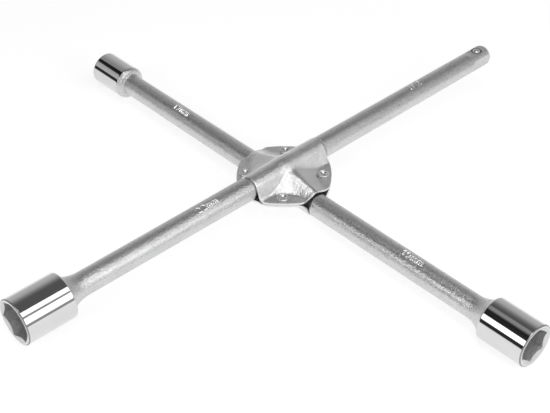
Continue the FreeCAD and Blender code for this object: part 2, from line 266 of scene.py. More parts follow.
# places of a socket's finishes in its list
SHELL, FLARE, RECESS, RIM_SHADE, LEAD = range(5)


def bar_radius(distance):
    """The bar tapers evenly from its shoulder to its end."""
    share = (distance - SHOULDER_AT) / (TAPER_END - SHOULDER_AT)
    return BAR_R + (BAR_END_R - BAR_R) * share


def forged_outline(socket, weld, back, outer):
    """Profile of a big socket from its weld to the end of its rounded back edge."""
    flare = socket["flare_r"]
    base = bar_radius(weld)
    reach = math.asin((back - weld) / flare)
    points = arc_points((weld, base + flare), flare, -math.pi / 2, -math.pi / 2 + reach, 14)
    centre = (back + BACK_EDGE_R, outer - BACK_EDGE_R)
    points += arc_points(centre, BACK_EDGE_R, math.pi, math.pi / 2, 8)
    return points


def small_outline(weld, shoulder, outer):
    """Profile of the small socket, whose shoulder is rounded down to the bar."""
    base = bar_radius(weld)
    big = ROUND_SHOULDER_R
    small = ROUND_SHOULDER_FILLET
    height = outer - big - base - small
    gap = math.sqrt((big + small) ** 2 - height ** 2)
    lean = math.atan2(height, gap)
    points = [(weld, base), (weld + PLAIN_START, base)]
    points += arc_points((shoulder - gap, base + small), small, -math.pi / 2, lean, 8)
    points += arc_points((shoulder, outer - big), big, math.pi + lean, math.pi / 2, 14)
    return points


def hexagon_radius(angle, socket):
    """Distance from the axis to the hexagon's wall."""
    inside = (math.degrees(angle) - socket["turn"]) % 60.0 - 30.0
    return socket["af"] / 2 / math.cos(math.radians(inside))


def recess_rings(socket, mouth, outer, angles):
    """Lead-in, hexagon, stud clearance and drilled bottom, from the mouth inwards."""
    land = outer - MOUTH_EDGE - MOUTH_LAND
    stud = socket["stud_r"]
    rings = [[], [], [], []]
    for angle in angles:
        wall = hexagon_radius(angle, socket)
        turn = Vector((math.cos(angle), math.sin(angle)))
        start = turn * max(land, wall)
        edge = turn * wall
        depth = max(land - wall, 0.0) / math.tan(LEAD_IN)
        rings[0].append((mouth, start.x, start.y))
        rings[1].append((mouth - depth, edge.x, edge.y))
        rings[2].append((mouth - HEX_DEPTH / 2, edge.x, edge.y))
        rings[3].append((mouth - HEX_DEPTH, edge.x, edge.y))
    rings.append(turned_ring(mouth - HEX_DEPTH, stud, angles))
    rings.append(turned_ring(mouth - STUD_DEPTH, stud, angles))
    rings.append(turned_ring(mouth - STUD_DEPTH - stud / DRILL_SLOPE, AXIS_R, angles))
    return rings


def socket_outline(socket, weld, mouth, outer):
    """Outer profile from the weld to the mouth, and how many of its rows are satin."""
    shoulder = mouth - socket["length"]
    if socket["flare_r"]:
        outline = forged_outline(socket, weld, shoulder, outer)
    else:
        outline = small_outline(weld, shoulder, outer)
    satin_rows = len(outline) - 3
    outline.append((outline[-1][0] + SHADING_HOLD, outer))
    outline.append((mouth - MOUTH_EDGE - SHADING_HOLD, outer))
    centre = (mouth - MOUTH_EDGE, outer - MOUTH_EDGE)
    outline += arc_points(centre, MOUTH_EDGE, math.pi / 2, 0.0, MOUTH_EDGE_POINTS - 1)
    outline.append((mouth, outer - MOUTH_EDGE - RIM_STEP))
    return outline, satin_rows


def socket_finish(row, satin_rows, shell_rows):
    """Which of a socket's finishes a row of its faces has."""
    if row < satin_rows:
        return FLARE
    if row == shell_rows:
        return LEAD
    if row > shell_rows:
        return RECESS
    # the mouth's rounded edge takes the painted shade finish
    if shell_rows - MOUTH_EDGE_POINTS <= row + 1 < shell_rows - 1:
        return RIM_SHADE
    return SHELL


def socket_piece(name, finishes):
    """finishes are the shell's, the flare's, the recess's, the rim edge's painted shade and the
    lead-in's.
    """
    socket = SOCKETS[name]
    low, high = local_box(name)
    if socket["arm"] == 180:
        weld, mouth = sorted((abs(low.x), abs(high.x)))
    else:
        weld, mouth = sorted((abs(low.y), abs(high.y)))
    outer = (high.z - low.z) / 2
    height = (high.z + low.z) / 2
    outline, satin_rows = socket_outline(socket, weld, mouth, outer)
    angles = even_angles(SOCKET_COLUMNS, socket["turn"])
    rings = [turned_ring(along, radius, angles) for along, radius in outline]
    shell_rows = len(rings)
    rings += recess_rings(socket, mouth, outer, angles)
    points, faces = skin(rings)
    finish_of_face = []
    for row in range(len(rings) - 1):
        finish_of_face += [socket_finish(row, satin_rows, shell_rows)] * len(angles)
    finish_of_face += [FLARE, RECESS]
    points = [place_on_arm(point, socket["arm"], height) for point in points]
    piece = new_piece(name + "_shape", points, faces, finishes, finish_of_face)
    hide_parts(name)


# ----------------------------------------------------------------- size marks

# each letter's width and its strokes as points, in shares of the letter's height
GLYPHS = {
    "1": (0.36, [[(0.02, 0.76), (0.26, 1.0), (0.26, 0.0)]]),
    "2": (0.6, [[(0.0, 0.76), (0.08, 0.93), (0.3, 1.0), (0.52, 0.93), (0.58, 0.72), (0.44, 0.46),
                 (0.0, 0.0), (0.6, 0.0)]]),
    "7": (0.58, [[(0.0, 1.0), (0.58, 1.0), (0.22, 0.0)]]),
    "9": (0.6, [[(0.6, 0.7), (0.52, 0.93), (0.3, 1.0), (0.08, 0.93), (0.0, 0.72), (0.08, 0.5),
                 (0.3, 0.42), (0.52, 0.5), (0.6, 0.7), (0.56, 0.35), (0.24, 0.0)]]),
    "m": (0.7, [[(0.0, 0.0), (0.0, 0.72)], [(0.0, 0.58), (0.16, 0.72), (0.33, 0.6), (0.35, 0.0)],
                [(0.35, 0.58), (0.52, 0.72), (0.68, 0.6), (0.7, 0.0)]]),
    "/": (0.4, [[(0.0, 0.0), (0.4, 1.0)]]),
}
GLYPH_GAP = 0.26                 # between two letters, in the same shares

# text, letter height, arm, centre's distance from the crossing, lean from the top
# towards the side it is read from in degrees, and +1 where it runs outwards along its arm
MARKS = [
    {"text": "22mm", "height": 3.8, "arm": 180, "at": 67.0, "lean": 15.5, "runs": -1},
    {"text": "19mm", "height": 4.1, "arm": 270, "at": 113.0, "lean": 4.0, "runs": 1},
    {"text": "17mm", "height": 3.8, "arm": 90, "at": 103.4, "lean": 10.0, "runs": -1},
    {"text": "1/2", "height": 4.9, "arm": 0, "at": 124.0, "lean": 0.0, "runs": 1},
]


def text_strokes(mark):
    """Line segments of a mark's text in millimetres, its middle at (0, 0)."""
    segments = []
    cursor = 0.0
    for letter in mark["text"]:
        width, lines = GLYPHS[letter]
        for stroke in lines:
            for (ax, ay), (bx, by) in zip(stroke, stroke[1:]):
                segments.append((Vector((cursor + ax, ay)), Vector((cursor + bx, by))))
        cursor += width + GLYPH_GAP
    middle = Vector(((cursor - GLYPH_GAP) / 2, 0.5))
    size = Vector((mark["height"] * LETTER_STRETCH, mark["height"]))
    return [((a - middle) * size, (b - middle) * size) for a, b in segments]


def gap_to_segment(place, start, end):
    """Distance from a place to the nearest point of a line segment."""
    run = end - start
    share = (place - start).dot(run) / run.length_squared
    return (place - start - run * min(max(share, 0.0), 1.0)).length


def stamp_depth(place, strokes):
    """How deep the die has pressed at a place: a groove, and below 0 on its raised lip."""
    gap = min(gap_to_segment(place, start, end) for start, end in strokes)
    if gap < STROKE_HALF:
        return MARK_DEPTH * (1 - (gap / STROKE_HALF) ** 2) ** 0.5
    lip = (gap - STROKE_HALF) / STROKE_HALF
    return -LIP_HEIGHT * math.sin(math.pi * min(lip, 1.0))


# ----------------------------------------------------------------------- bars

def bar_angles(marks):
    """Angles round a bar, closer together under its marks and never nearly the same."""
    angles = set(round(360.0 * step / BAR_COLUMNS, 3) for step in range(BAR_COLUMNS))
    fine = math.degrees(MARK_STEP / BAR_R)
    least = fine * 0.45
    for mark in marks:
        centre = mark_angle(mark)
        half = int((mark["height"] / 2 + MARK_MARGIN) / MARK_STEP) + 1
        for step in range(-half, half + 1):
            angles.add(round((centre + step * fine) % 360.0, 3))
    ordered = sorted(angles)
    kept = [ordered[0]]
    for angle in ordered[1:]:
        if angle - kept[-1] > least:
            kept.append(angle)
    return [math.radians(angle) for angle in kept]


def mark_angle(mark):
    """Angle of a mark's middle line about its bar, in the bar's own frame."""
    return 90.0 - bar_side(mark) * mark["lean"]


def mark_half_length(mark):
    """Half of the length along the bar that a mark's letters are kept to."""
    return len(mark["text"]) * mark["height"] * LETTER_STRETCH / 2


def arm_side(mark):
    """Sign of the bar's own x on the mark's arm."""
    return 1 if mark["arm"] in (0, 90) else -1


def bar_side(mark):
    """Sign of the bar's own y on the side its marks are read from."""
    return -1 if mark["arm"] in (0, 180) else 1


def bar_stations(start, end, marks):
    """Distances along a bar where its mesh has rings."""
    edge = SHOULDER_EDGE
    stations = [start, start + PLAIN_START, end]
    for sign in (-1, 1):
        stations += [sign * (SHOULDER_AT + edge + SHOULDER_HOLD), sign * (SHOULDER_AT + edge)]
        stations += [sign * SHOULDER_AT, sign * (SHOULDER_AT - RING_GAP)]
        stations += [sign * CROSS_FLAT_HALF, sign * (CROSS_FLAT_HALF + RING_GAP)]
    for mark in marks:
        half = mark_half_length(mark) + MARK_STEP
        count = int(2 * half / MARK_STEP)
        first = arm_side(mark) * mark["at"] - half
        stations += [first + MARK_STEP * step for step in range(count + 1)]
    return sorted(set(round(station, 4) for station in stations))


def plain_radius(along):
    """Radius of a bar at a distance from the crossing, its neck included."""
    distance = abs(along)
    if distance < SHOULDER_AT - RING_GAP / 2:
        return NECK_R
    if distance < SHOULDER_AT + SHOULDER_EDGE:
        return BAR_R - SHOULDER_EDGE + (distance - SHOULDER_AT)
    return bar_radius(distance)


def nose_radius(along):
    """The drive's end is rounded over."""
    start = DRIVE_TIP - DRIVE_NOSE
    base = bar_radius(start)
    share = (along - start) / DRIVE_NOSE
    if share <= 0:
        return bar_radius(along)
    return base - (base - DRIVE_NOSE_R) * (1 - math.sqrt(max(1 - share ** 2, 0.0)))


def flat_distance(along):
    """Distance of the drive's flats from the axis, with the cutter's run-out behind them."""
    behind = DRIVE_TIP - SQUARE_LENGTH - along
    if behind <= 0:
        return SQUARE_HALF
    if behind >= CUTTER_R:
        return 2 * BAR_R
    return SQUARE_HALF + CUTTER_R - math.sqrt(CUTTER_R ** 2 - behind ** 2)


def drive_radius(along, angle):
    """Radius of the bar at its drive end, where four flats are cut into it."""
    corner = (angle + math.pi / 4) % (math.pi / 2) - math.pi / 4
    return min(nose_radius(along), flat_distance(along) / math.cos(corner))


def bar_points(stations, angles, marks, radius_at, flat_side):
    """Rings of a bar along its own +X, with marks pressed in and the crossing's flat.

    Also gives the finish of each face: 1 in the bottom of a mark, 0 elsewhere."""
    strokes = [text_strokes(mark) for mark in marks]
    rings = []
    finish_of_face = []
    for along in stations:
        ring = []
        for angle in angles:
            depth = 0.0
            for mark, lines in zip(marks, strokes):
                depth += mark_depth_at(mark, lines, along, angle)
            radius = radius_at(along, angle) - depth
            y = radius * math.cos(angle)
            z = radius * math.sin(angle)
            if abs(along) < CROSS_FLAT_HALF + RING_GAP / 2:
                z = max(z * flat_side, -abs(UPPER)) * flat_side
            ring.append((along, y, z))
            finish_of_face.append(1 if depth > MARK_DEPTH / 4 else 0)
        rings.append(ring)
    ends = [0, 0]
    return rings, finish_of_face[:-len(angles)] + ends


def mark_depth_at(mark, lines, along, angle):
    """Depth of a mark at a point of its bar, 0 away from the mark."""
    sign = arm_side(mark)
    offset = (along - sign * mark["at"]) * sign * mark["runs"]
    if abs(offset) > mark_half_length(mark):
        return 0.0
    across = (angle - math.radians(mark_angle(mark))) * BAR_R
    if abs(across) > mark["height"] / 2 + MARK_MARGIN:
        return 0.0
    return stamp_depth(Vector((offset, across * bar_side(mark))), lines)


def lower_bar_piece(finishes):
    """finishes are the bar's and the marks', whose bright colour is a painted highlight."""
    marks = [mark for mark in MARKS if mark["arm"] in (90, 270)]
    low, high = local_box("lower_bar")
    angles = bar_angles(marks)
    stations = bar_stations(low.y, high.y, marks)

    def radius_at(along, angle):
        return plain_radius(along)

    rings, finish_of_face = bar_points(stations, angles, marks, radius_at, -1)
    points, faces = skin(rings)
    points = [place_on_arm(point, 90, LOWER) for point in points]
    piece = new_piece("lower_bar_shape", points, faces, finishes, finish_of_face)
    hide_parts("lower_bar")


def upper_bar_piece(finishes):
    """finishes are the bar's, the marks' (their bright colour a painted highlight) and the ball hole's
    painted shade.
    """
    marks = [mark for mark in MARKS if mark["arm"] in (0, 180)]
    low = local_box("upper_bar")[0]
    angles = bar_angles(marks)
    stations = set(bar_stations(low.x, DRIVE_TIP, marks))
    drive_start = DRIVE_TIP - SQUARE_LENGTH - CUTTER_R
    for number in range(int((DRIVE_TIP - drive_start) / DRIVE_STEP) + 1):
        stations.add(round(drive_start + number * DRIVE_STEP, 4))
    for number in range(1, 10):
        stations.add(round(DRIVE_TIP - DRIVE_NOSE * (1 - math.sin(number * math.pi / 20)), 4))
    ordered = sorted(stations)

    def radius_at(along, angle):
        return drive_radius(along, angle) if along > drive_start - 1 else plain_radius(along)

    rings, finish_of_face = bar_points(ordered, angles, marks, radius_at, 1)
    points, faces = skin(rings)
    points = [place_on_arm(point, 0, UPPER) for point in points]
    piece = new_piece("upper_bar_shape", points, faces, finishes, finish_of_face)
    cut_ball_hole(piece, finishes)
    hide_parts("upper_bar")


def hole_cutter():
    """The ball's hole and the staked groove round it, as turned solids about Z."""
    above = CUTTER_ABOVE
    mouth_r = BALL_HOLE_R + BALL_HOLE_FLARE
    middle_r = (STAKE_IN + STAKE_OUT) / 2
    # both are profiles of (height over the flat, radius)
    hole = [(-BALL_HOLE_DEPTH, AXIS_R), (-BALL_HOLE_DEPTH, BALL_HOLE_R)]
    hole += [(-BALL_HOLE_FLARE_DEPTH, BALL_HOLE_R), (0.0, mouth_r), (above, mouth_r), (above, AXIS_R)]
    groove = [(above, STAKE_IN), (0.0, STAKE_IN), (-STAKE_DEPTH, middle_r)]
    groove += [(0.0, STAKE_OUT), (above, STAKE_OUT)]
    shapes = []
    angles = even_angles(64)
    for profile, closed in ((hole, False), (groove, True)):
        rings = []
        for height, radius in profile:
            level = SQUARE_HALF + height
            rings.append([(radius * math.cos(a), radius * math.sin(a), level) for a in angles])
        if closed:
            rings.append(rings[0])
        points, faces = skin(rings)
        if closed:
            faces = faces[:-2]
        shapes.append((points, faces))
    return shapes


def cut_ball_hole(piece, finishes):
    """Cuts the staked ring into the drive, with the last finish, a painted shade, inside.

    Known fault: the hole's cutter overlaps the ring's, and the hole doesn't come out, so
    the flat stays whole and the ball stands out through it."""
    centre = Vector((DRIVE_TIP - BALL_FROM_TIP, 0, 0))
    points = []
    faces = []
    for shape_points, shape_faces in hole_cutter():
        start = len(points)
        points += [place_on_arm(Vector(point) + centre, 0, UPPER) for point in shape_points]
        faces += [tuple(index + start for index in face) for face in shape_faces]
    mesh = bpy.data.meshes.new("hole_cutter")
    mesh.from_pydata([tuple(point) for point in points], [], faces)
    for finish in finishes:
        mesh.materials.append(finish)
    # the cutter's faces carry the last finish, the painted shade of the hole and groove
    mesh.polygons.foreach_set("material_index", [len(finishes) - 1] * len(faces))
    shape = bmesh.new()
    shape.from_mesh(mesh)
    bmesh.ops.remove_doubles(shape, verts=shape.verts, dist=SHORTEST_EDGE_M)
    bmesh.ops.recalc_face_normals(shape, faces=shape.faces)
    shape.to_mesh(mesh)
    shape.free()
    cutter = bpy.data.objects.new("hole_cutter", mesh)
    bpy.context.scene.collection.objects.link(cutter)
    cut = piece.modifiers.new("hole", "BOOLEAN")
    cut.operation = "DIFFERENCE"
    cut.solver = "EXACT"
    cut.object = cutter
    bpy.context.view_layer.update()
    graph = bpy.context.evaluated_depsgraph_get()
    result = bpy.data.meshes.new_from_object(piece.evaluated_get(graph))
    piece.modifiers.clear()
    piece.data = result
    result.set_sharp_from_angle(angle=math.radians(SHARP_ANGLE))
    bpy.data.objects.remove(cutter)


# --------------------------------------------------------------------- spring

def spring_piece(finish):
    """The coil spring under the ball, a fixed coil that fills its CAD part's box."""
    low, high = local_box("detent_spring")
    centre = (low + high) / 2
    coil_r = (high.x - low.x) / 2 - SPRING_WIRE_R
    first = low.z + SPRING_WIRE_R
    last = high.z - SPRING_WIRE_R
    count = SPRING_TURNS * SPRING_STEPS
    section = even_angles(12)
    rings = []
    for step in range(count + 1):
        turned = 2 * math.pi * step / SPRING_STEPS
        height = first + (last - first) * step / count
        ring = []
        for angle in section:
            reach = coil_r + SPRING_WIRE_R * math.cos(angle)
            rise = height + SPRING_WIRE_R * math.sin(angle)
            ring.append((centre.x + reach * math.cos(turned), centre.y + reach * math.sin(turned), rise))
        rings.append(ring)
    points, faces = skin(rings)
    points = [HUB + Vector(point) * MM for point in points]
    piece = new_piece("detent_spring_shape", points, faces, [finish], body=None, sharp=ROUND_SHARP_ANGLE)
    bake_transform(piece)
    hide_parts("detent_spring")


# --------------------------------------------------------------------- plates

def ridge_rise(across, foot_r):
    """Height of the pressed ridge above the flange, at a distance from its bar."""
    across = abs(across)
    lean = RIDGE_LEAN
    wall_y = RIDGE_R * math.cos(lean)
    wall_z = UPPER + RIDGE_R * math.sin(lean)
    fillet_z = PLATE_T + foot_r
    foot = wall_y + (foot_r - math.sin(lean) * (fillet_z - wall_z)) / math.cos(lean)
    fillet_y = foot - foot_r * math.cos(lean)
    if across <= wall_y:
        return UPPER + math.sqrt(RIDGE_R ** 2 - across ** 2) - PLATE_T
    if across <= fillet_y:
        return wall_z - (across - wall_y) / math.tan(lean) - PLATE_T
    if across <= foot:
        return fillet_z - math.sqrt(foot_r ** 2 - (foot - across) ** 2) - PLATE_T
    return 0.0


def pad_gap(x, y):
    """Distance from the edge of the nearest rivet's flat pad, 0 on the pad itself."""
    short_x = max(PAD_X - abs(x), 0.0)
    short_y = max(PAD_Y - abs(y), 0.0)
    return max(math.hypot(short_x, short_y) - PAD_R, 0.0)


def rounded_ramp(share):
    """Rises from 0 to 1, level at both ends and straight between its two bends."""
    whole = 1.0 - (TENT_FOOT + TENT_SPINE) / 2.0
    if share < TENT_FOOT:
        return share ** 2 / (2.0 * TENT_FOOT) / whole
    if share < 1.0 - TENT_SPINE:
        return (share - TENT_FOOT / 2.0) / whole
    return 1.0 - (1.0 - share) ** 2 / (2.0 * TENT_SPINE) / whole


def tent_rise(x, y):
    """The sheet slopes from the ridge down to the plate's edge over the other bar."""
    out = min(abs(y) / PLATE_REACH, 1.0)
    spine = TENT_MIDDLE_H + (TENT_EDGE_H - TENT_MIDDLE_H) * out
    return spine * rounded_ramp(min(pad_gap(x, y) / pad_gap(0.0, y), 1.0))


def plate_height(x, y, foot_r):
    """Height of the plate's outer surface above the plates' joint."""
    rises = [ridge_rise(y, foot_r), tent_rise(x, y)]
    total = sum(rise ** BLEND_POWER for rise in rises)
    return PLATE_T + total ** (1.0 / BLEND_POWER)


def outline_reach(angle):
    """Distance from the crossing to the plate's edge in a direction."""
    near = (angle + math.pi / 4) % (math.pi / 2) - math.pi / 4
    straight = PLATE_REACH / math.cos(near)
    diagonal = angle % (math.pi / 2) - math.pi / 4
    back = CORNER_EDGE_R - PLATE_CORNER_REACH
    curved = math.sqrt(CORNER_EDGE_R ** 2 - (back * math.sin(diagonal)) ** 2) - back * math.cos(diagonal)
    both = straight ** -CORNER_SHARPNESS + curved ** -CORNER_SHARPNESS
    return both ** (-1.0 / CORNER_SHARPNESS)


def sheet_point(x, y, depth, foot_r):
    """A point of the sheet at a depth under its outer surface."""
    step = SLOPE_STEP
    slope_x = (plate_height(x + step, y, foot_r) - plate_height(x - step, y, foot_r)) / (2 * step)
    slope_y = (plate_height(x, y + step, foot_r) - plate_height(x, y - step, foot_r)) / (2 * step)
    normal = Vector((-slope_x, -slope_y, 1)).normalized()
    return Vector((x, y, plate_height(x, y, foot_r))) - normal * depth


def plate_rings(foot_r):
    """From the middle of the outer surface, over the rim, to the middle of the inner one."""
    angles = even_angles(PLATE_COLUMNS)
    reaches = [outline_reach(angle) for angle in angles]
    surface = [row / PLATE_ROWS for row in range(1, PLATE_ROWS)]
    rows = [(share, 0.0, -RIM_R) for share in surface]
    rim = arc_points((0.0, 0.0), RIM_R, math.pi / 2, 0.0, 4)
    rows += [(1.0, RIM_R - up, out - RIM_R) for out, up in rim]
    rows += [(1.0, PLATE_T - RIM_R + up, out - RIM_R) for out, up in reversed(rim)]
    rows += [(share, PLATE_T, -RIM_R) for share in reversed(surface)]
    rings = []
    for share, depth, inset in rows:
        ring = []
        for angle, reach in zip(angles, reaches):
            radius = (reach - RIM_R) * share + (inset + RIM_R if share == 1.0 else 0.0)
            x = radius * math.cos(angle)
            y = radius * math.sin(angle)
            ring.append(sheet_point(x, y, depth, foot_r))
        rings.append(ring)
    return rings


def plate_piece(name, foot_r, turn, finish):
    """One of the two pressings; turn is the rotation that takes the top one to its place."""
    points, faces = skin(plate_rings(foot_r))
    points = [HUB + (turn @ point) * MM for point in points]
    piece = new_piece(name + "_shape", points, faces, [finish])
    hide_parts(name)


# --------------------------------------------------------------------- rivets

def rivet_outline():
    """Profile as (height, radius): domed head below, rolled and cupped head above."""
    grip = PLATE_T + RIVET_PLAY
    roll = RIVET_HEAD_H / 2
    centre = (grip + roll, RIVET_HEAD_R - roll)
    outline = [(-grip - RIVET_HEAD_H, AXIS_R)]
    for step in range(1, 9):
        angle = step * math.pi / 16
        outline.append((-grip - RIVET_HEAD_H * math.cos(angle), RIVET_HEAD_R * math.sin(angle)))
    outline += [(-grip, RIVET_SHANK_R), (grip, RIVET_SHANK_R), (grip, centre[1])]
    outline += arc_points(centre, roll, math.pi, 0.0, 10)[1:]
    outline += arc_points(centre, roll, 0.0, -math.pi / 2, 6)[1:]
    outline += [(grip + height, radius) for height, radius in RIVET_CUP_FLOOR]
    return outline


def rivet_piece(name, finish):
    low, high = local_box(name)
    centre = (low + high) / 2
    rings = []
    for height, radius in rivet_outline():
        ring = []
        for angle in even_angles(72):
            place = (centre.x + radius * math.cos(angle), centre.y + radius * math.sin(angle), height)
            ring.append(HUB + Vector(place) * MM)
        rings.append(ring)
    points, faces = skin(rings)
    piece = new_piece(name + "_shape", points, faces, [finish], sharp=ROUND_SHARP_ANGLE)
    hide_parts(name)


# ------------------------------------------------------------------ materials

class Nodes:
    """Short names for building a node tree."""

    def __init__(self, tree):
        self.tree = tree

    def add(self, kind, **settings):
        node = self.tree.nodes.new(kind)
        for key, value in settings.items():
            setattr(node, key, value)
        return node

    def link(self, output, socket):
        self.tree.links.new(output, socket)

    def put(self, node, name, value):
        if isinstance(value, bpy.types.NodeSocket):
            self.link(value, node.inputs[name])
        else:
            node.inputs[name].default_value = value

    def math(self, operation, *values):
        """The output of a math node on one or two values or sockets."""
        node = self.add("ShaderNodeMath", operation=operation)
        for index, value in enumerate(values):
            self.put(node, index, value)
        return node.outputs[0]

    def dot(self, vector, fixed):
        """The dot product of a vector socket and a fixed direction."""
        node = self.add("ShaderNodeVectorMath", operation="DOT_PRODUCT")
        self.link(vector, node.inputs[0])
        node.inputs[1].default_value = fixed
        return node.outputs["Value"]

    def smooth(self, value, low, high, to_low=0.0, to_high=1.0):
        """A value eased from to_low to to_high as it goes from low to high."""
        node = self.add("ShaderNodeMapRange", interpolation_type="SMOOTHSTEP")
        self.put(node, "Value", value)
        self.put(node, "From Min", low)
        self.put(node, "From Max", high)
        self.put(node, "To Min", to_low)
        self.put(node, "To Max", to_high)
        return node.outputs[0]

    def noise(self, size, detail=2.0, stretch=(1, 1, 1)):
        """Noise whose blobs are about size millimetres across."""
        place = self.add("ShaderNodeTexCoord").outputs["Object"]
        mapping = self.add("ShaderNodeMapping")
        self.link(place, mapping.inputs["Vector"])
        mapping.inputs["Scale"].default_value = stretch
        noise = self.add("ShaderNodeTexNoise")
        self.link(mapping.outputs[0], noise.inputs["Vector"])
        self.put(noise, "Scale", 1 / (size * MM))
        self.put(noise, "Detail", detail)
        return noise.outputs["Fac"]


PIT_SIZE = 1.3                   # spacing of the fine dark pits in the plating


def material(name):
    made = bpy.data.materials.new(name)
    made.use_nodes = True
    return made, Nodes(made.node_tree), made.node_tree.nodes["Principled BSDF"]


def plated(name, colour, rough, grain, bumps, patches=0.05, pits=0.0):
    """Plated steel: a slightly blotchy tone, uneven gloss, and one or more sizes of bump.

    rough is the lowest and highest roughness, grain the size in millimetres of the
    gloss variation, bumps is a list of (size, height) in millimetres, and pits is how
    much darker the plating's fine pits are."""
    made, nodes, shader = material(name)
    shader.inputs["Metallic"].default_value = 1.0
    blotch = nodes.noise(14.0, 3.0)
    tint = nodes.add("ShaderNodeMix", data_type="RGBA")
    dull = colour * (1 - patches)
    bluish_dull = colour * (1 - patches * 0.9)
    tint.inputs["A"].default_value = (dull, dull, bluish_dull, 1)
    tint.inputs["B"].default_value = (colour, colour, colour * 1.005, 1)
    nodes.link(nodes.smooth(blotch, 0.35, 0.65), tint.inputs["Factor"])
    tone = tint.outputs["Result"]
    if pits:
        pitted = nodes.add("ShaderNodeMix", data_type="RGBA")
        nodes.link(tone, pitted.inputs["A"])
        deep = colour * (1 - pits)
        pitted.inputs["B"].default_value = (deep, deep, deep, 1)
        nodes.link(nodes.smooth(nodes.noise(PIT_SIZE), 0.5, 0.68), pitted.inputs["Factor"])
        tone = pitted.outputs["Result"]
    nodes.link(tone, shader.inputs["Base Color"])
    gloss = nodes.noise(grain, 3.0)
    nodes.link(nodes.smooth(gloss, 0.3, 0.7, rough[0], rough[1]), shader.inputs["Roughness"])
    normal = None
    for size, height in bumps:
        relief = nodes.add("ShaderNodeBump")
        nodes.put(relief, "Strength", 1.0)
        nodes.put(relief, "Distance", height * MM)
        nodes.link(nodes.noise(size, 2.0), relief.inputs["Height"])
        if normal:
            nodes.link(normal, relief.inputs["Normal"])
        normal = relief.outputs[0]
    nodes.link(normal, shader.inputs["Normal"])
    return made


def satin_chrome():
    """Chrome over blasted steel, grainy and finely pitted: the bars and the flares."""
    return plated("satin_chrome", 0.64, (0.27, 0.41), 0.9, [(1.1, 0.27)], pits=0.19)


def stamped_mark_painted_highlight():
    """The bottoms of the stamped strokes, smoother than the bar round them, with a painted highlight: a
    base colour brighter than the chrome, standing in for their glints.
    """
    return plated("stamped_mark_painted_highlight", 0.95, (0.08, 0.16), 0.5, [(0.4, 0.02)])


def polished_chrome():
    """The sockets' mirror finish, very slightly wavy."""
    return plated("polished_chrome", 0.67, (0.02, 0.06), 2.0, [(5.0, 0.006), (0.6, 0.0015)], 0.02)


def mouth_edge_painted_shade():
    """The dark line round a socket's mouth: painted shade, a dark colour standing in for the shadow
    under the tool that the rounded edge reflects.
    """
    return plated("mouth_edge_painted_shade", 0.30, (0.25, 0.40), 0.8, [(0.6, 0.02)])


def recess_chrome():
    """The uneven plating inside the sockets."""
    return plated("recess_chrome", 0.72, (0.34, 0.54), 1.5, [(1.5, 0.25)])


def lead_in_chrome():
    """The turned lead-in, between the mouth and the hexagon."""
    return plated("lead_in_chrome", 0.64, (0.34, 0.46), 1.0, [(0.8, 0.03)])


def pressed_plate():
    """Plated sheet with a fine grain and the broad unevenness that pressing leaves."""
    return plated("pressed_plate", 0.78, (0.28, 0.42), 1.2, [(1.1, 0.16), (8.0, 0.5)], pits=0.12)


def rivet_steel():
    """Plated rivets, nearly smooth."""
    return plated("rivet_steel", 0.72, (0.24, 0.34), 0.8, [(0.8, 0.01)])


def ball_hole_painted_shade():
    """The dark inside of the ball's hole and of the ring staked round it: painted shade, a near-black
    colour for the shade in these hollows.
    """
    return plated("ball_hole_painted_shade", 0.10, (0.40, 0.60), 0.5, [(0.5, 0.02)])


def ball_steel():
    """A polished bearing ball."""
    return plated("ball_steel", 0.72, (0.03, 0.08), 1.0, [(1.5, 0.002)])


def spring_steel():
    """Drawn wire."""
    return plated("spring_steel", 0.40, (0.25, 0.40), 0.5, [(0.4, 0.01)])


def pale_floor():
    """White floor that glows a little, and less far away, so that it stays white round the tool."""
    made, nodes, shader = material("floor")
    shade = nodes.smooth(nodes.noise(300.0), 0.2, 0.8, 0.49, 0.51)
    nodes.link(shade, shader.inputs["Base Color"])
    shader.inputs["Roughness"].default_value = 0.9
    shader.inputs["Specular IOR Level"].default_value = 0.0
    shader.inputs["Emission Color"].default_value = (1, 1, 1, 1)
    place = nodes.add("ShaderNodeTexCoord").outputs["Object"]
    distance = nodes.add("ShaderNodeVectorMath", operation="LENGTH")
    nodes.link(place, distance.inputs[0])
    glow = nodes.smooth(distance.outputs["Value"], 0.45, 2.2, 0.69, 0.42)
    nodes.link(glow, shader.inputs["Emission Strength"])
    return made


# --------------------------------------------------------------------- studio

# the camera's place in millimetres from the crossing, the direction it stands in,
# seen from the point it looks at, and its roll, in degrees
CAMERA_PLACE = Vector((-422.18, -454.81, 476.79))
CAMERA_AZIMUTH = -132.292
CAMERA_ELEVATION = 38.997
CAMERA_ROLL = -0.869
LENS = 78.5                      # millimetres, on a 36 mm sensor
FLOOR_REACH = 8.0                # metres
FLOOR_GAP = 0.0002


def direction(azimuth, elevation):
    """A unit vector; angles in degrees."""
    a = math.radians(azimuth)
    e = math.radians(elevation)
    return Vector((math.cos(a) * math.cos(e), math.sin(a) * math.cos(e), math.sin(e)))


def add_camera():
    data = bpy.data.cameras.new("camera")
    data.lens = LENS
    data.sensor_width = 36.0
    data.clip_start = 0.01
    camera = bpy.data.objects.new("camera", data)
    bpy.context.scene.collection.objects.link(camera)
    camera.location = HUB + CAMERA_PLACE * MM
    forward = -direction(CAMERA_AZIMUTH, CAMERA_ELEVATION)
    flat_right = forward.cross(Vector((0, 0, 1))).normalized()
    upright = flat_right.cross(forward)
    roll = math.radians(CAMERA_ROLL)
    right = flat_right * math.cos(roll) + upright * math.sin(roll)
    up = right.cross(forward)
    camera.rotation_mode = "QUATERNION"
    camera.rotation_quaternion = Matrix((right, up, -forward)).transposed().to_quaternion()
    bpy.context.scene.camera = camera


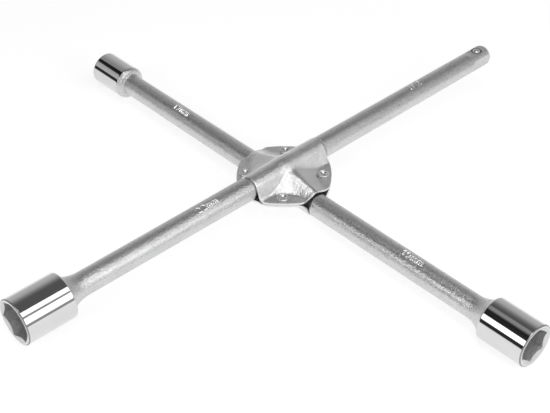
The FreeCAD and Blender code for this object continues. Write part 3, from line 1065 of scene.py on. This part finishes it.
def soft_box(name, azimuth, elevation, width, height, radiance, distance):
    """A rectangular soft light; width and height are the angles it fills from the hub.

    distance is in metres. Being an area lamp, it shows in the chrome but not to the camera."""
    data = bpy.data.lights.new(name, "AREA")
    data.shape = "RECTANGLE"
    data.size = 2 * distance * math.tan(math.radians(width / 2))
    data.size_y = 2 * distance * math.tan(math.radians(height / 2))
    data.energy = radiance * math.pi * data.size * data.size_y
    light = bpy.data.objects.new(name, data)
    bpy.context.scene.collection.objects.link(light)
    light.location = HUB + direction(azimuth, elevation) * distance
    light.rotation_mode = "QUATERNION"
    light.rotation_quaternion = direction(azimuth, elevation).to_track_quat("Z", "Y")
    light.visible_camera = False


def flag(nodes, ray, azimuth, elevation, width, height, soft):
    """1 where a ray points into a flat screen, 0 outside it, eased over soft at its edges."""
    ahead = direction(azimuth, elevation)
    side = Vector((0, 0, 1)).cross(ahead).normalized()
    up = ahead.cross(side)
    depth = nodes.math("MAXIMUM", nodes.dot(ray, ahead), 0.001)
    inside = 1.0
    for axis, span in ((side, width), (up, height)):
        reach = math.tan(math.radians(span / 2))
        offset = nodes.math("ABSOLUTE", nodes.math("DIVIDE", nodes.dot(ray, axis), depth))
        inside = nodes.math("MULTIPLY", inside, nodes.smooth(offset, reach + soft, reach - soft))
    return inside


# azimuth, elevation, width and height in degrees, radiance, and distance in metres
SOFT_BOXES = {
    "left_soft_box": (-84, 26, 40, 26, 1.8, 0.65),
    "front_soft_box": (-95, 59, 60, 20, 1.6, 0.65),
    "right_soft_box": (167, 32, 22, 24, 2.0, 0.8),
    "top_soft_box": (-165, 82, 26, 29, 2.15, 3.0),
}

# elevation in degrees and the studio's brightness there
SKY = [(0, 0.72), (10, 0.62), (26, 0.56), (37, 0.44), (50, 0.22), (60, 0.12), (90, 0.10)]

# dark screens: azimuth, elevation, width, height in degrees, and how much light they
# stop; the last is a faint lit panel instead
FLAGS = [
    (120, 44, 34, 15, 0.95),
    (138, 53, 36, 20, 0.85),
    (156, 9, 50, 16, 0.95),
    (-60, 2, 60, 14, 0.45),
    (92, 67, 16, 5, -1.8),
]
FLAG_EDGE = 0.03                 # how soft their edges are


def studio_world():
    """The walls round the tool: brightness by elevation, with the screens' shading."""
    world = bpy.data.worlds.new("studio")
    bpy.context.scene.world = world
    world.use_nodes = True
    tree = world.node_tree
    tree.nodes.clear()
    nodes = Nodes(tree)
    ray = nodes.add("ShaderNodeTexCoord").outputs["Generated"]
    height = nodes.add("ShaderNodeSeparateXYZ")
    nodes.link(ray, height.inputs[0])
    elevation = nodes.math("ARCSINE", height.outputs["Z"])
    ramp = nodes.add("ShaderNodeValToRGB")
    nodes.link(nodes.math("DIVIDE", elevation, math.pi / 2), ramp.inputs[0])
    elements = ramp.color_ramp.elements
    elements[1].position = 1.0
    for index, (angle, level) in enumerate(SKY):
        last = angle == SKY[-1][0]
        stop = elements[0] if index == 0 else elements[-1] if last else elements.new(angle / 90)
        stop.color = (level, level, level, 1)
    light = 1.0
    for azimuth, elevation, width, height, strength in FLAGS:
        inside = flag(nodes, ray, azimuth, elevation, width, height, FLAG_EDGE)
        shade = nodes.math("MULTIPLY", inside, strength)
        light = nodes.math("MULTIPLY", light, nodes.math("SUBTRACT", 1.0, shade))
    background = nodes.add("ShaderNodeBackground")
    nodes.link(ramp.outputs[0], background.inputs["Color"])
    nodes.link(light, background.inputs["Strength"])
    output = nodes.add("ShaderNodeOutputWorld")
    nodes.link(background.outputs[0], output.inputs[0])


def add_floor():
    mesh = bpy.data.meshes.new("floor")
    reach = FLOOR_REACH
    corners = [(-reach, -reach, 0), (reach, -reach, 0), (reach, reach, 0), (-reach, reach, 0)]
    mesh.from_pydata(corners, [], [(0, 1, 2, 3)])
    mesh.materials.append(pale_floor())
    floor = bpy.data.objects.new("floor", mesh)
    bpy.context.scene.collection.objects.link(floor)
    floor.location.z = cad_box[0].z - FLOOR_GAP


satin = satin_chrome()
# the marks' finish: smoother, with a painted highlight in its bright colour
stamped = stamped_mark_painted_highlight()
# the fourth finish is painted shade for the sockets' mouth edges
socket_finishes = [polished_chrome(), satin, recess_chrome(), mouth_edge_painted_shade(), lead_in_chrome()]
for socket_name in SOCKETS:
    socket_piece(socket_name, socket_finishes)
# the ball hole's finish is painted shade
upper_bar_piece([satin, stamped, ball_hole_painted_shade()])
lower_bar_piece([satin, stamped])
pressed = pressed_plate()
turned_over = Matrix.Rotation(math.pi / 2, 3, "Z") @ Matrix.Rotation(math.pi, 3, "X")
plate_piece("top_plate", TOP_FOOT_R, Matrix.Identity(3), pressed)
plate_piece("bottom_plate", BOTTOM_FOOT_R, turned_over, pressed)
riveted = rivet_steel()
for number in range(1, 5):
    rivet_piece("rivet_%d" % number, riveted)
spring_piece(spring_steel())
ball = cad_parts["detent_ball"]
ball.data.materials.clear()
ball.data.materials.append(ball_steel())

add_camera()
studio_world()
for light_name, light_settings in SOFT_BOXES.items():
    soft_box(light_name, *light_settings)
add_floor()
bpy.context.scene.view_settings.view_transform = "Standard"
